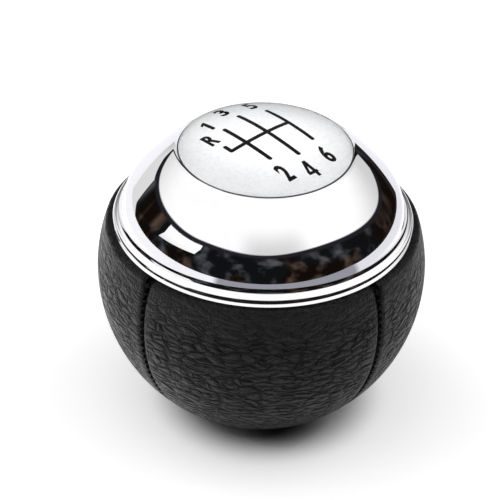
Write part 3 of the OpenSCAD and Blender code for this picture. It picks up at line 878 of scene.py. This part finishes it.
# figure, middle of its place, width, and whether it is on the near side
FIGURES = (
    ("R", (-5.35, 6.25), 1.75, False), ("1", (-3.1, 9.5), 0.95, False),
    ("3", (1.3, 11.2), 1.6, False), ("5", (5.8, 9.8), 1.6, False),
    ("2", (-2.7, -6.95), 1.55, True), ("4", (0.85, -8.55), 1.7, True),
    ("6", (5.45, -7.3), 1.6, True),
)
# the figures of straight strokes: places across in mm, and along as shares of half their height
STROKES = {
    "1": ((
        (0.52, -1), (0.52, 1), (0.12, 1), (-0.52, 0.66), (-0.52, 0.28), (-0.12, 0.48), (-0.12, -1),
    ),),
    "4": (
        (
            (0.14, -1), (0.70, -1), (0.70, -0.56), (0.70, -0.26), (0.70, 1), (0.14, 1),
            (0.14, 0.38), (0.14, -0.26), (0.14, -0.56),
        ),
        ((-0.86, -0.56), (0.14, -0.56), (0.14, -0.26), (-0.34, -0.26), (-0.86, -0.26)),
        ((0.70, -0.56), (0.92, -0.56), (0.92, -0.26), (0.70, -0.26)),
        ((-0.86, -0.26), (-0.34, -0.26), (0.14, 0.38), (0.14, 1)),
    ),
}


def grow(piece, start, across, move):
    """Extrudes the edge that lies at a place, by a distance in millimetres."""
    pick(piece, lambda p: (p.xy - Vector(start)).length < across * 0.75)
    by = {"value": (move[0] * MM, move[1] * MM, 0)}
    bpy.ops.mesh.extrude_region_move(TRANSFORM_OT_translate=by)


def gate_lines(width):
    """The lines of the shift pattern, drawn on as one flat shape and rounded at their ends."""
    half = width / 2
    clear_selection()
    bpy.ops.mesh.primitive_plane_add(size=width * MM, location=(REVERSE_X * MM, CROSS_Y * MM, 0))
    lines = bpy.context.object
    bpy.ops.object.transform_apply(location=True)
    bpy.ops.object.mode_set(mode="EDIT")
    bpy.ops.mesh.select_mode(type="VERT")
    ends = [(REVERSE_X, REVERSE_TOP)]
    grow(lines, (REVERSE_X, CROSS_Y + half), width, (0, REVERSE_TOP - CROSS_Y - half))
    at = REVERSE_X + half
    for x, top, foot in GATES:
        grow(lines, (at, CROSS_Y), width, (x - half - at, 0))
        grow(lines, (x - half, CROSS_Y), width, (width, 0))
        grow(lines, (x, CROSS_Y + half), width, (0, top - CROSS_Y - half))
        grow(lines, (x, CROSS_Y - half), width, (0, foot - CROSS_Y + half))
        ends += [(x, top), (x, foot)]
        at = x + half
    bpy.ops.mesh.select_all(action="SELECT")
    bpy.ops.mesh.remove_doubles(threshold=0.01 * MM)
    pick(lines, lambda p: min((p.xy - Vector(e)).length for e in ends) < width * 0.6)
    bpy.ops.mesh.bevel(offset=half * 0.94 * MM, segments=5, affect="VERTICES")
    pick(lines, lambda p: (p.xy - Vector((REVERSE_X - half, CROSS_Y - half))).length < half * 0.2)
    bpy.ops.mesh.bevel(offset=half * MM, segments=4, affect="VERTICES")
    bpy.ops.object.mode_set(mode="OBJECT")
    return lines


def set_at(middle):
    """A move to a place on the disc, in millimetres."""
    return Matrix.Translation((middle[0] * MM, middle[1] * MM, 0))


def drawn_figure(letter, middle, height):
    """A figure drawn from straight strokes, each a flat outline, and set in its place."""
    strokes = []
    for outline in STROKES[letter]:
        strokes.append(draw_outline("stroke", [(x, y * height / 2) for x, y in outline]))
        bpy.ops.mesh.select_all(action="SELECT")
        bpy.ops.mesh.edge_face_add()
        bpy.ops.object.mode_set(mode="OBJECT")
    choose(*strokes)
    if len(strokes) > 1:
        bpy.ops.object.join()
    made = bpy.context.object
    made.data.transform(set_at(middle) @ Matrix.Rotation(math.radians(-90), 4, "X"))
    return made


def figure(letter, middle, width, height, bold=0.14):
    """One figure of the pattern as a flat mesh: narrowed, thickened evenly and set in its place."""
    if letter in STROKES:
        return drawn_figure(letter, middle, height)
    clear_selection()
    bpy.ops.object.text_add(location=(0, 0, 0))
    bpy.context.object.data.body = letter
    bpy.ops.object.convert(target="CURVE")
    drawn = bpy.context.object
    bpy.context.view_layer.update()
    box = np.array(drawn.bound_box)
    low, high = box.min(0)[:2], box.max(0)[:2]
    scale = (np.array([width, height]) - 2 * bold) / (high - low)
    centre = (low + high) / 2
    narrowed = Matrix.Diagonal((*scale, 1, 1))
    drawn.data.transform(narrowed @ Matrix.Translation((*-centre, 0)))
    drawn.data.offset = bold
    drawn.data.resolution_u = 8
    bpy.ops.object.convert(target="MESH")
    made = bpy.context.object
    made.data.transform(set_at(middle) @ Matrix.Scale(MM, 4))
    if letter in "R3":
        # the thickened outline crosses itself in the inner corners, so its points are merged there
        bpy.ops.object.mode_set(mode="EDIT")
        bpy.ops.mesh.select_all(action="SELECT")
        bpy.ops.mesh.remove_doubles(threshold=0.08 * MM)
        bpy.ops.object.mode_set(mode="OBJECT")
    return made


class GEARKNOB_OT_pattern(bpy.types.Operator):
    """Makes the silver disc and prints the shift pattern on it"""

    bl_idname = "gearknob.pattern"
    bl_label = "Disc and Shift Pattern"

    def execute(self, context):
        sizes, colours = context.scene.knob_sizes, context.scene.knob_colours
        # a disc of 27.06 mm, 0.48 mm thick, with its edges broken by 0.08 mm
        edge, back = (13.45, 13.53), DISC_Z - 0.48
        outline = [(0, back), (edge[0], back), (edge[1], back + 0.08), (edge[1], DISC_Z - 0.08)]
        outline += [(edge[0], DISC_Z), (9.0, DISC_Z), (0, DISC_Z)]
        disc = turn("silver_disc", outline, 128)
        finish(disc, silver_lacquer(colours), "silver_disc", "pattern_disc")
        marks = [gate_lines(sizes.print_w / MM)]
        for letter, middle, width, near in FIGURES:
            height = (sizes.near_figure if near else sizes.far_figure) / MM
            marks.append(figure(letter, middle, width, height))
        choose(*marks)
        bpy.ops.object.join()
        ink = context.object
        ink.name = ink.data.name = "shift_pattern"
        bpy.ops.object.mode_set(mode="EDIT")
        close_up(ink)
        for face in ink.data.polygons:
            if face.normal.z < 0:
                face.flip()
        ink.data.transform(Matrix.Translation((0, 0, PRINT_Z * MM)))
        apply(ink, "SOLIDIFY", thickness=0.015 * MM, offset=-1)
        finish(ink, screen_ink(colours), "silver_disc")
        return {"FINISHED"}


class GEARKNOB_OT_lens(bpy.types.Operator):
    """Turns the clear lens"""

    bl_idname = "gearknob.lens"
    bl_label = "Lens"

    def execute(self, context):
        # how far the dome stands over its rim
        rise = 3.1
        dome_r = (LENS_R * LENS_R + rise * rise) / (2 * rise)
        centre = (0, LENS_RIM_Z + rise - dome_r)
        low = math.degrees(math.acos((LENS_R - 0.12) / dome_r))
        # its flat side lies 0.02 mm in the lacquer, as a glued lens has no air behind it
        base = DISC_Z - 0.02
        outline = [(0, base), (4.5, base), (9.0, base), (13.5, base), (LENS_R, DISC_Z + 0.1)]
        outline += [(LENS_R, LENS_RIM_Z - 0.06)]
        outline += arc(centre, dome_r, low, 90, 0.7)
        lens = turn("clear_lens", outline, context.scene.knob_sizes.turn_steps)
        finish(lens, clear_acrylic(), "clear_lens", "lens")
        # painted shade: the lens's edge faces are coloured dark grey, for the refraction and shade
        # that read as a thin dark line round the lens
        lens.data.materials.append(grained("lens_edge_painted_shade", "4A4A4C", "58585A", 0.2, 0.01, 0.7))
        for face in lens.data.polygons:
            middle = face.center / MM
            if middle.xy.length > LENS_R - 0.13 and middle.z > base + 0.2:
                face.material_index = 1
        return {"FINISHED"}


class GEARKNOB_OT_inner(bpy.types.Operator):
    """Finishes the moulded and metal pieces inside the knob"""

    bl_idname = "gearknob.inner"
    bl_label = "Inner Pieces"

    def execute(self, context):
        black = grained("black_moulding", "161618", "222224", 0.25, 0.03, 0.55)
        finishes = {
            "base_collar": black,
            "core_shell": black,
            "cap_carrier": black,
            "lever_hub": grained("cast_zinc", "8E9196", "A3A6AA", 0.3, 0.03, 0.45, 1.0),
            "lever_sleeve": grained("natural_nylon", "D9D7CC", "E4E2D8", 0.3, 0.01, 0.4),
            "clip_ring": grained("spring_wire", "7C7F84", "94979B", 0.1, 0.01, 0.3, 1.0),
            "carrier_screws": grained(
                "zinc_plated_screw", "A9ABAE", "BDBFC0", 0.12, 0.01, 0.3, 1.0
            ),
            "end_buffer": grained("black_rubber", "1A1A1A", "262626", 0.4, 0.03, 0.8),
            "disc_tape": grained("foam_tape", "D8D8D2", "E6E6E0", 0.15, 0.03, 0.9),
        }
        for name, material in finishes.items():
            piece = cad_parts[name]
            for slot in piece.material_slots:
                slot.material = material
        return {"FINISHED"}


class GEARKNOB_PT_panel(bpy.types.Panel):
    """Lists the knob's pieces, sizes and colours"""

    bl_label = "Gear Knob"
    bl_idname = "GEARKNOB_PT_panel"
    bl_space_type = "VIEW_3D"
    bl_region_type = "UI"
    bl_category = "Gear Knob"

    def draw(self, context):
        for operator in OPERATORS:
            self.layout.operator(operator.bl_idname)
        for group in (context.scene.knob_sizes, context.scene.knob_colours):
            column = self.layout.column()
            for name in group.__annotations__:
                column.prop(group, name)


OPERATORS = (
    GEARKNOB_OT_stage,
    GEARKNOB_OT_leather,
    GEARKNOB_OT_stitches,
    GEARKNOB_OT_plating,
    GEARKNOB_OT_pattern,
    GEARKNOB_OT_lens,
    GEARKNOB_OT_inner,
)
CLASSES = (KnobSizes, KnobColours, *OPERATORS, GEARKNOB_PT_panel)


def register():
    """Registers the classes and hangs the sizes and colours on the scene."""
    for cls in CLASSES:
        bpy.utils.register_class(cls)
    bpy.types.Scene.knob_sizes = PointerProperty(type=KnobSizes)
    bpy.types.Scene.knob_colours = PointerProperty(type=KnobColours)


def unregister():
    """Takes out again what register put in."""
    del bpy.types.Scene.knob_colours
    del bpy.types.Scene.knob_sizes
    for cls in reversed(CLASSES):
        bpy.utils.unregister_class(cls)


def main():
    """Builds the knob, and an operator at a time."""
    register()
    for operator in OPERATORS:
        group, name = operator.bl_idname.split(".")
        getattr(getattr(bpy.ops, group), name)()


if __name__ == "__main__":
    main()
